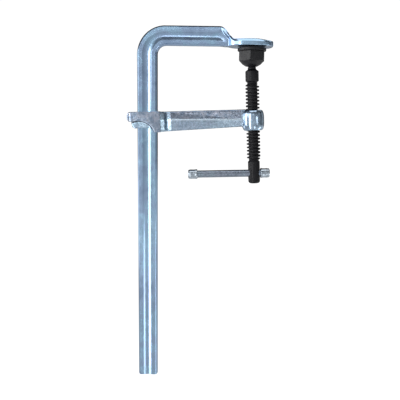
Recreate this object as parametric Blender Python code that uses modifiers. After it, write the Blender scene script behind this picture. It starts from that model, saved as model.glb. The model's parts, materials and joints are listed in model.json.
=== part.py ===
"""All-steel sliding-arm bar clamp: a bent rail with a forged jaw, a sliding arm, and a screw with a swivel pad.

Metres, +Z up. The origin is on the fixed jaw's flat face, on the line that the pad presses along.
The rail stands along Z at negative X, and both arms reach from it towards positive X.
The sliding arm rides canted on the rail, by the play in its window, so it and everything on it is
modelled in a tilted frame whose origin is the centre of the spindle's ball.
"""

import math

import bmesh
import bpy
from mathutils import Matrix, Vector

# Rail: the bar, its bend and its length
RAIL_WIDTH = 0.024
RAIL_THICKNESS = 0.0120
GROOVE_DEPTH = 0.0012
GROOVE_HALF_WIDTH = 0.0070
EDGE_ROUNDING = 0.0026
THROAT = 0.1084  # from the line of pressure to the rail's inner edge
RAIL_BELOW_JAW = 0.403
BEND_INNER_RADIUS = 0.0098
ARM_HEIGHT = 0.0226

# Fixed jaw, forged on the end of the bent bar
JAW_LEFT_X = -0.0280
JAW_RIGHT_X = 0.0235
JAW_HALF_DEPTH = 0.0190
JAW_THICKNESS = 0.0073
JAW_TIP_THICKNESS = 0.0054
JAW_FOOT_ROUNDING = 0.0012
JAW_TOP_ROUNDING = 0.0020
SHOULDER_START_X = -0.0385
SHOULDER_END_X = -0.0200
SHOULDER_BULGE = 0.0075  # how far the shoulder's sides stand out over the bar's
FOLD_X = -0.0250  # where the fold between bar and shoulder starts, over the jaw face
FOLD_HEIGHT = 0.0054
FOLD_LEAN = 0.83  # how far the fold leans back for each metre up
FOLD_WIDTH = 0.0035

# Gaps
PAD_GAP = 0.0012  # between the fixed jaw and the pad, room for the pad to tilt
FIT_GAP = 0.0003
RAIL_PLAY = 0.00035

# Screw: a trapezoidal thread, 16 mm across with a pitch of 4 mm
THREAD_RADIUS = 0.0080
THREAD_PITCH = 0.0040
TOOTH_DEPTH = 0.00225
CREST_HALF_WIDTH = 0.00073
FLANK_ANGLE = math.radians(15.0)
ROOT_RADIUS = THREAD_RADIUS - TOOTH_DEPTH
TOOTH_SINK = 0.0004  # how far the tooth's base is sunk into the core

# Spindle, as distances below the ball's centre
CANT = math.radians(2.9)
BALL_DEPTH = 0.0125
BALL_RADIUS = 0.0060
INNER_NECK_RADIUS = 0.0040
NECK_RADIUS = 0.0047
NECK_AT = 0.0114
COLLAR_RADIUS = 0.0077
COLLAR_TOP = 0.0145
COLLAR_BOTTOM = 0.0263
THREAD_TOP = 0.0283
THREAD_BOTTOM = 0.1182
TAIL_RADIUS = 0.0070
TAIL_ROUNDING = 0.0028
SPINDLE_BOTTOM = 0.1452
CROSS_HOLE_AT = 0.1332

# Pad: pressure plate, socket and the ring under the ball
PLATE_RADIUS = 0.0164
PLATE_THICKNESS = 0.0036
STUD_RADIUS = 0.0090
STUD_LENGTH = 0.0040
SOCKET_ACROSS_FLATS = 0.0278
SOCKET_TURN = math.radians(-10.5)
SOCKET_CHAMFER_TOP = 0.0018
SOCKET_HEX_BOTTOM = 0.0040
SOCKET_WAIST = 0.0070
SOCKET_WAIST_RADIUS = 0.0106
SOCKET_BOTTOM = 0.0092
SOCKET_MOUTH_RADIUS = 0.0069
SOCKET_BORE_RADIUS = BALL_RADIUS + 0.00035
RING_WIRE_RADIUS = 0.0008
RING_RADIUS = 0.00575
RING_BELOW_BALL = 0.00416
RING_GROOVE_RADIUS = 0.0070
RING_GROOVE_HALF_HEIGHT = 0.00145

# Sliding arm, in the tilted frame
ARM_TOP_AT_HEAD = -0.0563
ARM_TOP_AT_BOSS = -0.0574
ARM_BOTTOM_AT_HEAD = -0.0805
ARM_BOTTOM_AT_BOSS = -0.0780
RIDGE_AT_HEAD = -0.0663
RIDGE_AT_BOSS = -0.0692
WEB_CORNER = 0.0012
WEB_STEP_DOWN = 0.0004  # from the head's top and bottom to the web's
WEB_END_X = -0.0080
WEB_SECTIONS = (  # x, then half the thickness at the top edge, at the ridge and at the bottom edge
    (-0.1130, 0.0041, 0.0061, 0.0041),  # buried in the head
    (-0.1087, 0.0104, 0.0110, 0.0106),
    (-0.1035, 0.0070, 0.0086, 0.0084),  # the end of the head's slanted facet
    (-0.1010, 0.0036, 0.0052, 0.0034),  # the bottom of the hollow between head and web
    (-0.0958, 0.0041, 0.0061, 0.0041),
    (WEB_END_X, 0.0041, 0.0061, 0.0041),
)
HEAD_LEFT_X = -0.1470
HEAD_RIGHT_X = -0.1085
HEAD_HALF_DEPTH = 0.0116
HEAD_BEVEL = 0.0010
SWEEP_CENTRE = (-0.1340, -0.0855)  # of the arc cut back under the head's left end
SWEEP_RADIUS = 0.0185
LOBE_LEFT_X = -0.1422
LOBE_RIGHT_X = -0.1120
LOBE_BOTTOM = -0.0751
LOBE_HALF_DEPTH = 0.0094
BOSS_END_RADIUS = 0.0095
BOSS_MID_RADIUS = 0.0131
BOSS_TOP = -0.0589
BOSS_BOTTOM = -0.0827
BOSS_STEPS = 12

# Tommy bar, drooping a little in its loose hole
BAR_DROOP = math.radians(1.1)
BAR_RADIUS = 0.0043
BAR_LEFT_X = -0.0788
BAR_RIGHT_X = 0.0184
CAP_LENGTH = 0.0109
CAP_RADIUS = 0.0059
CAP_SHOULDER = 0.0005
CAP_ROUNDING = 0.0016
CAP_END_WALL = 0.0013

# Facets
TURN_STEPS = 32
THREAD_STEPS = 16
SPINDLE_STEPS = 16
SIDE_STEPS = 10
END_STEPS = 8
BEND_STEPS = 10
SHOULDER_STEPS = 12
JAW_STEPS = 14

MERGE = 0.00001


def clear_scene():
    """Remove whatever the scene holds, and give the parts and the cutters a collection each."""
    for obj in list(bpy.data.objects):
        bpy.data.objects.remove(obj, do_unlink=True)
    parts = bpy.data.collections.new("bar_clamp")
    cutters = bpy.data.collections.new("bar_clamp_cutters")
    for collection in (parts, cutters):
        bpy.context.scene.collection.children.link(collection)
    return parts, cutters


def steel(name, colour, roughness, metallic=1.0):
    """A Principled material of one steel finish."""
    material = bpy.data.materials.new(name)
    material.use_nodes = True
    shader = material.node_tree.nodes["Principled BSDF"]
    shader.inputs["Base Color"].default_value = (*colour, 1.0)
    shader.inputs["Roughness"].default_value = roughness
    shader.inputs["Metallic"].default_value = metallic
    return material


PARTS, CUTTERS = clear_scene()
BRIGHT_ZINC = steel("bright_zinc", (0.60, 0.68, 0.75), 0.28)
DULL_ZINC = steel("dull_zinc", (0.42, 0.46, 0.52), 0.42)
CAP_ZINC = steel("cap_zinc", (0.58, 0.63, 0.68), 0.30)
BLACK_OXIDE = steel("black_oxide", (0.035, 0.035, 0.040), 0.45, 0.6)
SPRING_STEEL = steel("spring_steel", (0.30, 0.30, 0.31), 0.35)


def empty(name, location, turn_about_y=0.0, parent=None):
    """A guide that pieces are parented to."""
    guide = bpy.data.objects.new(name, None)
    guide.parent = parent
    guide.location = location
    guide.rotation_euler = (0.0, turn_about_y, 0.0)
    PARTS.objects.link(guide)
    return guide


def add_object(name, mesh, parent=None, material=None, cutter=False):
    """An object for a finished mesh, as a part or as a cutter."""
    obj = bpy.data.objects.new(name, mesh)
    obj.parent = parent
    if cutter:
        CUTTERS.objects.link(obj)
        obj.hide_render = True
        obj.display_type = "WIRE"
    else:
        PARTS.objects.link(obj)
        obj.data.materials.append(material)
    return obj


def mesh_from(bm, name):
    """Write a bmesh into a new mesh, and free it."""
    mesh = bpy.data.meshes.new(name)
    bm.to_mesh(mesh)
    bm.free()
    return mesh


def smooth(obj, sharp_degrees=35.0):
    """Shade an object's faces smooth, with its real edges kept sharp."""
    obj.data.shade_smooth()
    obj.data.set_sharp_from_angle(angle=math.radians(sharp_degrees))


def turned(name, profile, parent=None, material=None, cutter=False, steps=TURN_STEPS):
    """A shape turned round Z from (radius, height) points that run from its top to its bottom."""
    bm = bmesh.new()
    points = [bm.verts.new((radius, 0.0, height)) for radius, height in profile]
    for upper, lower in zip(points, points[1:]):
        bm.edges.new((upper, lower))
    obj = add_object(name, mesh_from(bm, name), parent, material, cutter)
    screw = obj.modifiers.new("turn", "SCREW")
    screw.steps = steps
    screw.render_steps = steps
    screw.use_merge_vertices = True
    screw.merge_threshold = MERGE
    return obj


def arc(centre, radius, start_degrees, end_degrees, steps):
    """Points of an arc round a centre in the profile's plane."""
    points = []
    for step in range(steps + 1):
        angle = math.radians(start_degrees + (end_degrees - start_degrees) * step / steps)
        points.append((centre[0] + radius * math.cos(angle), centre[1] + radius * math.sin(angle)))
    return points


def evaluated_mesh(obj, name):
    """The object's mesh with its modifiers applied."""
    bpy.context.view_layer.update()
    depsgraph = bpy.context.evaluated_depsgraph_get()
    return bpy.data.meshes.new_from_object(obj.evaluated_get(depsgraph), depsgraph=depsgraph)


def boolean(obj, other, operation):
    """Join or cut an object with another by Boolean."""
    modifier = obj.modifiers.new(operation.lower(), "BOOLEAN")
    modifier.object = other
    modifier.operation = operation
    modifier.solver = "EXACT"


def bake_modifiers(obj):
    """Replace an object's mesh by what its modifiers make of it."""
    mesh = evaluated_mesh(obj, obj.name)
    mesh.name = obj.name
    obj.modifiers.clear()
    obj.data = mesh


def smoothstep(value, low, high):
    """0 below low, 1 above high, and an even S-curve between them."""
    share = min(max((value - low) / (high - low), 0.0), 1.0)
    return share * share * (3.0 - 2.0 * share)


def mix(first, second, share):
    return first + (second - first) * share


def rounded_end(step):
    """A point of the bar's rounded narrow edge: how far out, and how far across from +1 to -1."""
    angle = math.pi * step / END_STEPS
    return math.sin(angle) ** 0.8, math.copysign(abs(math.cos(angle)) ** 0.8, math.cos(angle))


def flat_end(step):
    """The same point on a flat edge with small chamfers."""
    half = END_STEPS // 2
    from_corner = min(step, END_STEPS - step)
    across = (1.0, 0.97, 0.90, 0.45, 0.0)[from_corner]
    out = (0.0, 0.6, 1.0, 1.0, 1.0)[from_corner]
    return out, across if step <= half else -across


def section(outer, foot_half, web_half, groove, flatness):
    """One ring of the rail forging, as (in-plane, depth) points.

    The in-plane value runs from the inner edge at 0, which is the jaw face on the arm, to the outer edge.
    The foot is the part next to the inner edge that widens into the jaw; web_half gives half the depth
    of the rest at an in-plane value. flatness runs from the bar's round edges at 0 to the jaw's at 1.
    """
    rounding = min(EDGE_ROUNDING, 0.45 * outer)
    low = mix(rounding, JAW_FOOT_ROUNDING, flatness)
    top_rounding = mix(rounding, JAW_TOP_ROUNDING, flatness)
    high = outer - top_rounding

    def half_depth(place):
        foot_share = 1.0 - smoothstep(place, 0.7 * JAW_THICKNESS, 1.7 * JAW_THICKNESS)
        hollow = math.cos(min(abs(place - outer / 2) / GROOVE_HALF_WIDTH, 1.0) * math.pi / 2) ** 2
        return mix(web_half(place), foot_half, foot_share) - groove * hollow

    ring = []
    for step in range(SIDE_STEPS):
        place = mix(low, high, step / SIDE_STEPS)
        ring.append((place, half_depth(place)))
    for step in range(END_STEPS):
        out, across = [mix(a, b, flatness) for a, b in zip(rounded_end(step), flat_end(step))]
        ring.append((high + top_rounding * out, half_depth(high) * across))
    for step in range(SIDE_STEPS):
        place = mix(high, low, step / SIDE_STEPS)
        ring.append((place, -half_depth(place)))
    for step in range(END_STEPS):
        out, across = [mix(a, b, flatness) for a, b in zip(rounded_end(step), flat_end(step))]
        ring.append((low - low * out, -half_depth(low) * across))
    return ring


def bar_section(height):
    """A ring of the plain bar, grooved along both faces."""
    half = RAIL_THICKNESS / 2
    return section(height, half, lambda place: half, GROOVE_DEPTH, 0.0)


def loft(name, rings, parent, material):
    """A closed body through rings of equal length, with its first and last ring filled."""
    bm = bmesh.new()
    rows = [[bm.verts.new(point) for point in ring] for ring in rings]
    count = len(rows[0])
    for row, following in zip(rows, rows[1:]):
        for index in range(count):
            other = (index + 1) % count
            bm.faces.new((row[index], row[other], following[other], following[index]))
    bm.faces.new(rows[0])
    bm.faces.new(rows[-1])
    bmesh.ops.recalc_face_normals(bm, faces=bm.faces)
    return add_object(name, mesh_from(bm, name), parent, material)


def jaw_half_depth(x):
    """Half the depth of the jaw at x: oval, squarer at its free end, and never under the bar's own."""
    centre = (JAW_LEFT_X + JAW_RIGHT_X) / 2
    reach = (JAW_RIGHT_X - JAW_LEFT_X) / 2
    share = min(abs(x - centre) / reach, 0.985)
    if x > centre:
        return JAW_HALF_DEPTH * (1.0 - share**3.2) ** (1 / 2.8)
    return max(JAW_HALF_DEPTH * (1.0 - share**2.4) ** (1 / 2.2), RAIL_THICKNESS / 2)


def jaw_top(x):
    """Height of the forging's top above the jaw face at x."""
    shoulder = smoothstep(x, SHOULDER_START_X, SHOULDER_END_X) ** 1.3
    crown = mix(JAW_THICKNESS, JAW_TIP_THICKNESS, smoothstep(x, 0.0, JAW_RIGHT_X))
    return mix(ARM_HEIGHT, crown, shoulder)


def arm_ring(x):
    """The forging's ring at x along the top arm, where in-plane is height over the jaw face."""
    bar_half = RAIL_THICKNESS / 2
    flat = smoothstep(x, SHOULDER_START_X, JAW_LEFT_X)
    foot = mix(bar_half, jaw_half_depth(x), flat)
    bulge = bar_half + SHOULDER_BULGE * smoothstep(x, SHOULDER_START_X, SHOULDER_END_X)
    shoulder = max(jaw_half_depth(x), bulge) if x < SHOULDER_END_X else jaw_half_depth(x)
    groove = GROOVE_DEPTH * (1.0 - smoothstep(x, SHOULDER_START_X - 0.004, JAW_LEFT_X))

    def web_half(height):
        past_fold = x + FOLD_LEAN * (height - FOLD_HEIGHT) - FOLD_X
        return mix(bar_half, shoulder, smoothstep(past_fold, -FOLD_WIDTH / 2, FOLD_WIDTH / 2))

    ring = section(jaw_top(x), foot, web_half, groove, flat)
    return [(x, depth, height) for height, depth in ring]


def make_rail():
    """The bar from its lower end, round the bend and along the top arm into the oval jaw."""
    bend_x = -THROAT + BEND_INNER_RADIUS
    bend_z = -BEND_INNER_RADIUS
    rings = []
    for z in (-RAIL_BELOW_JAW, bend_z):
        rings.append([(-THROAT - across, depth, z) for across, depth in bar_section(RAIL_WIDTH)])
    for step in range(1, BEND_STEPS + 1):
        share = step / BEND_STEPS
        angle = math.pi - share * math.pi / 2
        points = []
        for across, depth in bar_section(mix(RAIL_WIDTH, ARM_HEIGHT, share)):
            radius = BEND_INNER_RADIUS + across
            points.append((bend_x + radius * math.cos(angle), depth, bend_z + radius * math.sin(angle)))
        rings.append(points)
    for step in range(SHOULDER_STEPS + 1):
        rings.append(arm_ring(mix(SHOULDER_START_X - 0.004, SHOULDER_END_X, step / SHOULDER_STEPS)))
    for step in range(1, JAW_STEPS + 1):
        share = math.sin(step / JAW_STEPS * math.pi / 2)
        rings.append(arm_ring(mix(SHOULDER_END_X, JAW_RIGHT_X, share)))
    rail = loft("rail", rings, None, BRIGHT_ZINC)
    smooth(rail, 30.0)
    return rail


def outline_solid(name, outline, half_depth, bevel, parent):
    """A flat outline in XZ, filled, given its depth along Y and rounded edges, as a mesh cutter or joiner."""
    curve = bpy.data.curves.new(name, "CURVE")
    curve.dimensions = "2D"
    curve.fill_mode = "BOTH"
    curve.extrude = half_depth - bevel
    curve.bevel_depth = bevel
    curve.bevel_resolution = 1
    curve.offset = -bevel
    spline = curve.splines.new("POLY")
    spline.points.add(len(outline) - 1)
    for point, (x, z) in zip(spline.points, outline):
        point.co = (x, z, 0.0, 1.0)
    spline.use_cyclic_u = True
    drawing = bpy.data.objects.new(name + "_outline", curve)
    CUTTERS.objects.link(drawing)
    mesh = evaluated_mesh(drawing, name)
    bpy.data.objects.remove(drawing, do_unlink=True)
    bm = bmesh.new()
    bm.from_mesh(mesh)
    bmesh.ops.remove_doubles(bm, verts=bm.verts, dist=MERGE)
    bmesh.ops.rotate(bm, verts=bm.verts, cent=(0, 0, 0), matrix=Matrix.Rotation(math.pi / 2, 3, "X"))
    bmesh.ops.recalc_face_normals(bm, faces=bm.faces)
    return add_object(name, mesh_from(bm, name), parent, cutter=True)


def box(name, low, high, parent):
    """A box between two corners, as a cutter."""
    bm = bmesh.new()
    bmesh.ops.create_cube(bm, size=1.0)
    low, high = Vector(low), Vector(high)
    bmesh.ops.scale(bm, verts=bm.verts, vec=high - low)
    bmesh.ops.translate(bm, verts=bm.verts, vec=(low + high) / 2)
    return add_object(name, mesh_from(bm, name), parent, cutter=True)


def web_ring(x, top_half, ridge_half, bottom_half):
    """A section of the sliding arm's web, thickest at its ridge, from its three half thicknesses."""
    share = (x - HEAD_RIGHT_X) / (WEB_END_X - HEAD_RIGHT_X)
    top = mix(ARM_TOP_AT_HEAD, ARM_TOP_AT_BOSS, share) - WEB_STEP_DOWN
    bottom = mix(ARM_BOTTOM_AT_HEAD, ARM_BOTTOM_AT_BOSS, share) + WEB_STEP_DOWN
    ridge = mix(RIDGE_AT_HEAD, RIDGE_AT_BOSS, share)
    half = [
        (top_half - WEB_CORNER, top),
        (top_half, top - WEB_CORNER),
        (ridge_half, ridge),
        (bottom_half, bottom + WEB_CORNER),
        (bottom_half - WEB_CORNER, bottom),
    ]
    ring = half + [(-depth, height) for depth, height in reversed(half)]
    return [(x, depth, height) for depth, height in ring]


def head_outline():
    """The thick cheek of the head: deep at its right end, and cut back in an arc under its left end."""
    left = HEAD_LEFT_X
    top = ARM_TOP_AT_HEAD
    outline = [
        (HEAD_RIGHT_X, top),
        (left + 0.0035, top + 0.0005),
        (left + 0.0010, top - 0.0008),
        (left, top - 0.0030),
        (left, top - 0.0080),
        (left + 0.0020, SWEEP_CENTRE[1] + SWEEP_RADIUS - 0.0002),
    ]
    sweep_end = math.degrees(math.asin((ARM_BOTTOM_AT_HEAD - SWEEP_CENTRE[1]) / SWEEP_RADIUS))
    outline += arc(SWEEP_CENTRE, SWEEP_RADIUS, 90.0, sweep_end, 7)
    outline.append((HEAD_RIGHT_X, ARM_BOTTOM_AT_HEAD))
    return outline


def lobe_outline():
    """The thinner lobe that shows under the cut-back left end of the cheek."""
    top = ARM_TOP_AT_HEAD - 0.0030
    return [
        (LOBE_RIGHT_X, top),
        (LOBE_LEFT_X, top),
        (LOBE_LEFT_X, LOBE_BOTTOM + 0.0060),
        (LOBE_LEFT_X + 0.0010, LOBE_BOTTOM + 0.0018),
        (LOBE_LEFT_X + 0.0035, LOBE_BOTTOM),
        (LOBE_RIGHT_X - 0.0095, LOBE_BOTTOM),
        (LOBE_RIGHT_X, LOBE_BOTTOM - 0.0045),
    ]


def boss_profile():
    """The barrel-shaped boss at the arm's free end."""
    middle = (BOSS_TOP + BOSS_BOTTOM) / 2
    profile = [(0.0, BOSS_TOP)]
    for step in range(BOSS_STEPS + 1):
        share = math.cos(math.pi * step / BOSS_STEPS)
        bulge = (1.0 - abs(share) ** 3.2) ** 0.5
        radius = mix(BOSS_END_RADIUS, BOSS_MID_RADIUS, bulge)
        profile.append((radius, middle + share * (BOSS_TOP - BOSS_BOTTOM) / 2))
    return profile + [(0.0, BOSS_BOTTOM)]


def make_sliding_arm(frame):
    """The sliding arm: head, web and boss joined, with the rail window and the spindle bore cut."""
    arm = loft("sliding_arm", [web_ring(*numbers) for numbers in WEB_SECTIONS], frame, BRIGHT_ZINC)
    cheek = outline_solid("cheek", head_outline(), HEAD_HALF_DEPTH, HEAD_BEVEL, frame)
    lobe = outline_solid("lobe", lobe_outline(), LOBE_HALF_DEPTH, HEAD_BEVEL, frame)
    boss = turned("boss", boss_profile(), frame, cutter=True)
    for piece in (cheek, lobe, boss):
        boolean(arm, piece, "UNION")
    rail_rise = ARM_TOP_AT_HEAD * math.cos(CANT) - BALL_DEPTH
    window_left = (-THROAT - RAIL_WIDTH) * math.cos(CANT) + (rail_rise - 0.018) * math.sin(CANT)
    window_right = -THROAT * math.cos(CANT) + (rail_rise + 0.012) * math.sin(CANT)
    half = RAIL_THICKNESS / 2 + RAIL_PLAY
    window = box(
        "rail_window",
        (window_left - RAIL_PLAY, -half, ARM_BOTTOM_AT_HEAD - 0.01),
        (window_right + RAIL_PLAY, half, ARM_TOP_AT_HEAD + 0.01),
        frame,
    )
    bore_radius = THREAD_RADIUS + FIT_GAP
    bore_profile = [(0.0, 0.0), (bore_radius, 0.0), (bore_radius, -0.1), (0.0, -0.1)]
    bore = turned("spindle_bore", bore_profile, frame, cutter=True)
    for cutter in (window, bore):
        boolean(arm, cutter, "DIFFERENCE")
    bake_modifiers(arm)
    smooth(arm)
    return arm


def spindle_profile():
    """The spindle without its thread, from the top of the ball down to the rounded tail."""
    ball_end_degrees = -math.degrees(math.acos(INNER_NECK_RADIUS / BALL_RADIUS))
    ball = arc((0.0, 0.0), BALL_RADIUS, 90.0, ball_end_degrees, 10)
    ball[0] = (0.0, BALL_RADIUS)
    tail_round = arc(
        (TAIL_RADIUS - TAIL_ROUNDING, -SPINDLE_BOTTOM + TAIL_ROUNDING), TAIL_ROUNDING, 0, -90, 4
    )
    return (
        ball
        + [
            (INNER_NECK_RADIUS, -NECK_AT + 0.0032),
            (NECK_RADIUS, -NECK_AT),
            (NECK_RADIUS, -NECK_AT - 0.0006),
            (COLLAR_RADIUS - 0.0003, -COLLAR_TOP + 0.0003),
            (COLLAR_RADIUS, -COLLAR_TOP - 0.0006),
            (COLLAR_RADIUS, -COLLAR_BOTTOM + 0.0010),
            (ROOT_RADIUS, -COLLAR_BOTTOM - 0.0012),
            (ROOT_RADIUS, -THREAD_BOTTOM),
            (TAIL_RADIUS, -THREAD_BOTTOM - 0.0010),
        ]
        + tail_round
        + [(0.0, -SPINDLE_BOTTOM)]
    )


def thread_tooth(frame):
    """The thread's tooth: a trapezium run round the core as a right-hand helix, with closed ends."""
    base_radius = ROOT_RADIUS - TOOTH_SINK
    base_half_width = CREST_HALF_WIDTH + (THREAD_RADIUS - base_radius) * math.tan(FLANK_ANGLE)
    bottom = -THREAD_BOTTOM + base_half_width
    top = -THREAD_TOP - base_half_width
    turns = (top - bottom) / THREAD_PITCH
    bm = bmesh.new()
    corners = [
        bm.verts.new((base_radius, 0.0, bottom + base_half_width)),
        bm.verts.new((THREAD_RADIUS, 0.0, bottom + CREST_HALF_WIDTH)),
        bm.verts.new((THREAD_RADIUS, 0.0, bottom - CREST_HALF_WIDTH)),
        bm.verts.new((base_radius, 0.0, bottom - base_half_width)),
    ]
    for corner, following in zip(corners, corners[1:] + corners[:1]):
        bm.edges.new((corner, following))
    tooth = add_object("thread_tooth", mesh_from(bm, "thread_tooth"), frame, cutter=True)
    screw = tooth.modifiers.new("helix", "SCREW")
    screw.angle = 2 * math.pi * turns
    screw.screw_offset = THREAD_PITCH * turns
    screw.steps = round(THREAD_STEPS * turns)
    screw.render_steps = screw.steps
    screw.use_smooth_shade = False
    bake_modifiers(tooth)
    bm = bmesh.new()
    bm.from_mesh(tooth.data)
    bmesh.ops.holes_fill(bm, edges=bm.edges, sides=4)
    bmesh.ops.recalc_face_normals(bm, faces=bm.faces)
    bm.to_mesh(tooth.data)
    bm.free()
    return tooth


def make_spindle(frame):
    """The screw: turned core, thread, and the cross hole for the tommy bar."""
    spindle = turned("spindle", spindle_profile(), frame, BLACK_OXIDE, steps=SPINDLE_STEPS)
    boolean(spindle, thread_tooth(frame), "UNION")
    hole_radius = BAR_RADIUS + FIT_GAP
    hole_profile = [(0.0, 0.02), (hole_radius, 0.02), (hole_radius, -0.02), (0.0, -0.02)]
    hole = turned("cross_hole", hole_profile, frame, cutter=True)
    hole.location = (0.0, 0.0, -CROSS_HOLE_AT)
    hole.rotation_euler = (0.0, math.pi / 2, 0.0)
    boolean(spindle, hole, "DIFFERENCE")
    bake_modifiers(spindle)
    smooth(spindle)
    return spindle


def make_snap_ring(frame):
    """The round-wire ring under the ball."""
    circle = arc((RING_RADIUS, -RING_BELOW_BALL), RING_WIRE_RADIUS, 90.0, -270.0, 8)
    ring = turned("snap_ring", circle[:-1] + circle[:1], frame, SPRING_STEEL, steps=24)
    bake_modifiers(ring)
    bm = bmesh.new()
    bm.from_mesh(ring.data)
    bmesh.ops.remove_doubles(bm, verts=bm.verts, dist=MERGE)
    bmesh.ops.recalc_face_normals(bm, faces=bm.faces)
    bm.to_mesh(ring.data)
    bm.free()
    smooth(ring, 60.0)
    return ring


def make_pressure_plate(frame):
    """The round plate, with the stud that screws into the socket and a seat for the ball in the stud."""
    top = BALL_DEPTH - PAD_GAP
    underside = top - PLATE_THICKNESS
    stud_bottom = underside - STUD_LENGTH
    seat_radius = BALL_RADIUS + FIT_GAP
    seat_start = math.degrees(math.asin(stud_bottom / seat_radius))
    seat = arc((0.0, 0.0), seat_radius, seat_start, 90.0, 5)
    seat[-1] = (0.0, seat_radius)
    rim = 0.0005
    profile = [
        (0.0, top),
        (PLATE_RADIUS - rim, top),
        (PLATE_RADIUS, top - rim),
        (PLATE_RADIUS, underside + rim),
        (PLATE_RADIUS - rim, underside),
        (STUD_RADIUS, underside),
        (STUD_RADIUS, stud_bottom),
    ]
    plate = turned("pressure_plate", profile + seat, frame, BLACK_OXIDE)
    smooth(plate)
    return plate


def make_hex_socket(frame):
    """The hexagonal socket: chamfered below to a conical mouth, bored for the stud, ball and ring."""
    top = BALL_DEPTH - PAD_GAP - PLATE_THICKNESS - FIT_GAP
    corner_radius = SOCKET_ACROSS_FLATS / 2 / math.cos(math.pi / 6)
    bm = bmesh.new()
    bmesh.ops.create_cone(
        bm,
        cap_ends=True,
        segments=6,
        radius1=corner_radius,
        radius2=corner_radius,
        depth=top + SOCKET_BOTTOM,
        matrix=Matrix.Translation((0.0, 0.0, (top - SOCKET_BOTTOM) / 2))
        @ Matrix.Rotation(SOCKET_TURN, 4, "Z"),
    )
    socket = add_object("hex_socket", mesh_from(bm, "hex_socket"), frame, BLACK_OXIDE)
    clear = corner_radius + 0.002
    shape = turned(
        "socket_cone",
        [
            (0.0, top + 0.001),
            (clear, top + 0.001),
            (clear, -SOCKET_CHAMFER_TOP),
            (SOCKET_ACROSS_FLATS / 2 - 0.0005, -SOCKET_HEX_BOTTOM),
            (SOCKET_WAIST_RADIUS, -SOCKET_WAIST),
            (SOCKET_MOUTH_RADIUS, -SOCKET_BOTTOM),
            (0.0, -SOCKET_BOTTOM),
        ],
        frame,
        cutter=True,
        steps=48,
    )
    stud_bore = STUD_RADIUS + FIT_GAP
    stud_floor = top - STUD_LENGTH
    groove_top = -RING_BELOW_BALL + RING_GROOVE_HALF_HEIGHT
    groove_floor = -RING_BELOW_BALL - RING_GROOVE_HALF_HEIGHT
    bore = turned(
        "socket_bore",
        [
            (0.0, top + 0.001),
            (stud_bore, top + 0.001),
            (stud_bore, stud_floor),
            (SOCKET_BORE_RADIUS, stud_floor),
            (SOCKET_BORE_RADIUS, groove_top),
            (RING_GROOVE_RADIUS, groove_top),
            (RING_GROOVE_RADIUS, groove_floor),
            (SOCKET_BORE_RADIUS, groove_floor),
            (SOCKET_BORE_RADIUS, -SOCKET_BOTTOM - 0.001),
            (0.0, -SOCKET_BOTTOM - 0.001),
        ],
        frame,
        cutter=True,
    )
    boolean(socket, shape, "INTERSECT")
    boolean(socket, bore, "DIFFERENCE")
    bake_modifiers(socket)
    smooth(socket)
    return socket


def make_tommy_bar(frame):
    """The plain round bar that turns the spindle, lying along its frame's X."""
    inset = CAP_END_WALL + FIT_GAP
    length = BAR_RIGHT_X - BAR_LEFT_X - 2 * inset
    bm = bmesh.new()
    bmesh.ops.create_cone(
        bm, cap_ends=True, segments=TURN_STEPS, radius1=BAR_RADIUS, radius2=BAR_RADIUS, depth=length
    )
    bar = add_object("tommy_bar", mesh_from(bm, "tommy_bar"), frame, DULL_ZINC)
    bar.location = ((BAR_LEFT_X + BAR_RIGHT_X) / 2, 0.0, 0.0)
    bar.rotation_euler = (0.0, math.pi / 2, 0.0)
    smooth(bar)
    return bar


def make_bar_cap(name, frame, outer_end, side):
    """A cup pressed over one end of the tommy bar; side is +1 on the right and -1 on the left."""
    bore = BAR_RADIUS + FIT_GAP
    round_centre = (CAP_RADIUS - CAP_SHOULDER - CAP_ROUNDING, -CAP_ROUNDING)
    profile = (
        [(0.0, 0.0)]
        + arc(round_centre, CAP_ROUNDING, 90.0, 0.0, 3)
        + [
            (CAP_RADIUS, -0.45 * CAP_LENGTH),
            (CAP_RADIUS, -CAP_LENGTH + CAP_SHOULDER),
            (CAP_RADIUS - 0.7 * CAP_SHOULDER, -CAP_LENGTH),
            (bore, -CAP_LENGTH),
            (bore, -CAP_END_WALL),
            (0.0, -CAP_END_WALL),
        ]
    )
    cap = turned(name, profile, frame, CAP_ZINC)
    cap.location = (outer_end, 0.0, 0.0)
    cap.rotation_euler = (0.0, side * math.pi / 2, 0.0)
    smooth(cap)
    return cap


def main():
    ball_centre = (0.0, 0.0, -BALL_DEPTH)
    tilted = empty("tilted_frame", ball_centre, -CANT)
    upright = empty("pad_frame", ball_centre)
    crossways = empty("bar_frame", (0.0, 0.0, -CROSS_HOLE_AT), BAR_DROOP, tilted)
    make_rail()
    make_sliding_arm(tilted)
    make_spindle(tilted)
    make_snap_ring(upright)
    make_hex_socket(upright)
    make_pressure_plate(upright)
    make_tommy_bar(crossways)
    make_bar_cap("bar_cap_left", crossways, BAR_LEFT_X, -1)
    make_bar_cap("bar_cap_right", crossways, BAR_RIGHT_X, 1)
    bpy.context.view_layer.update()


main()
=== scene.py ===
"""Looks of the all-steel bar clamp: fine meshes, procedural finishes, studio light and the camera.

Everything is in metres in the CAD's frame: the origin is on the fixed jaw's face, +Z runs up the rail
and +X runs out along the arms. The spindle, the tommy bar and its caps are made in the tilted frame of
the screw axis, whose origin is the ball's centre.
"""

import json
import math

import bmesh
import bpy
from mathutils import Matrix, Vector, noise


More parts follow.
